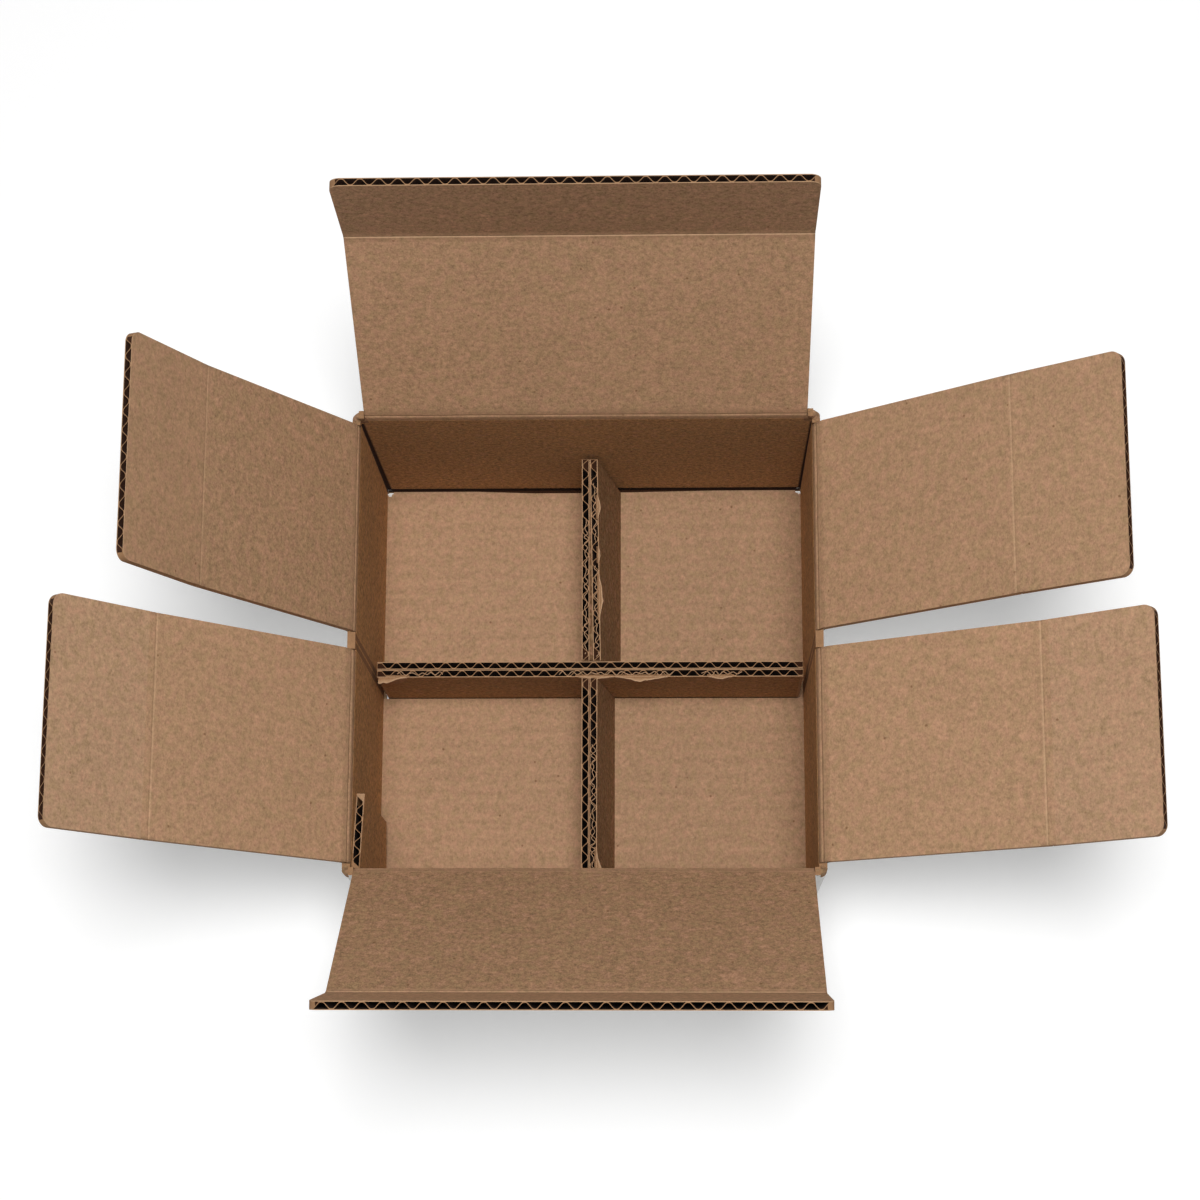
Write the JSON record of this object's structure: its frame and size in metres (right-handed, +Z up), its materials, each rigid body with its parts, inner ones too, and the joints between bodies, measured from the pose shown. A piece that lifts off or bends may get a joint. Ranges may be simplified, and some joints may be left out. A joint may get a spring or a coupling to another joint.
{
  "type": "four-cell corrugated mailer box",
  "caption": "Square corrugated board box, open, with hinged top flaps and lips, and a standing cross divider made by the lips of its bottom flaps.",
  "frame": {"origin": "middle of the bottom face, on the surface the box stands on", "axes": "+Z up, out of the open top; the front towards -Y; the long divider runs along X"},
  "size_m": [0.379, 0.2807, 0.2303],
  "materials": {
    "board": "uncoated brown liner inside, white liner outside"
  },
  "bodies": {
    "box": {"box_shell": "board"},
    "back_flap": {"back_flap": "board"},
    "back_lip": {"back_lip": "board"},
    "front_flap": {"front_flap": "board"},
    "front_lip": {"front_lip": "board"},
    "rear_left_flap": {"rear_left_flap": "board"},
    "rear_left_lip": {"rear_left_lip": "board"},
    "front_left_flap": {"front_left_flap": "board"},
    "front_left_lip": {"front_left_lip": "board"},
    "rear_right_flap": {"rear_right_flap": "board"},
    "rear_right_lip": {"rear_right_lip": "board"},
    "front_right_flap": {"front_right_flap": "board"},
    "front_right_lip": {"front_right_lip": "board"}
  },
  "joints": [
    {"name": "back_fold", "type": "hinge", "parent": "box", "child": "back_flap", "pos_m": [0, 0.0882, 0.1102], "axis": [1, 0, 0], "range_deg": [-99.3, 120.7]},
    {"name": "back_crease", "type": "hinge", "parent": "back_flap", "child": "back_lip", "pos_m": [0, 0.13303, 0.18569], "axis": [1, 0, 0], "range_deg": [-38.2, 61.8]},
    {"name": "front_fold", "type": "hinge", "parent": "box", "child": "front_flap", "pos_m": [0, -0.0882, 0.1102], "axis": [-1, 0, 0], "range_deg": [-94.5, 125.5]},
    {"name": "front_crease", "type": "hinge", "parent": "front_flap", "child": "front_lip", "pos_m": [0, -0.13919, 0.18168], "axis": [-1, 0, 0], "range_deg": [-37.8, 62.2]},
    {"name": "rear_left_fold", "type": "hinge", "parent": "box", "child": "rear_left_flap", "pos_m": [-0.0887, 0.0435, 0.107], "axis": [0, 1, 0], "range_deg": [-99.4, 120.6]},
    {"name": "rear_left_crease", "type": "hinge", "parent": "rear_left_flap", "child": "rear_left_lip", "pos_m": [-0.13365, 0.0435, 0.183], "axis": [0, 1, 0], "range_deg": [-15.7, 84.3]},
    {"name": "front_left_fold", "type": "hinge", "parent": "box", "child": "front_left_flap", "pos_m": [-0.0887, -0.0435, 0.107], "axis": [0, 1, 0], "range_deg": [-85.9, 134.1]},
    {"name": "front_left_crease", "type": "hinge", "parent": "front_left_flap", "child": "front_left_lip", "pos_m": [-0.15015, -0.0435, 0.17041], "axis": [0, 1, 0], "range_deg": [-13.9, 86.1]},
    {"name": "rear_right_fold", "type": "hinge", "parent": "box", "child": "rear_right_flap", "pos_m": [0.0887, 0.0435, 0.107], "axis": [0, -1, 0], "range_deg": [-81.4, 138.6]},
    {"name": "rear_right_crease", "type": "hinge", "parent": "rear_right_flap", "child": "rear_right_lip", "pos_m": [0.15493, 0.0435, 0.16539], "axis": [0, -1, 0], "range_deg": [-7.1, 92.9]},
    {"name": "front_right_fold", "type": "hinge", "parent": "box", "child": "front_right_flap", "pos_m": [0.0887, -0.0435, 0.107], "axis": [0, -1, 0], "range_deg": [-70.9, 149.1]},
    {"name": "front_right_crease", "type": "hinge", "parent": "front_right_flap", "child": "front_right_lip", "pos_m": [0.16447, -0.0435, 0.15235], "axis": [0, -1, 0], "range_deg": [-16.8, 83.2]}
  ]
}
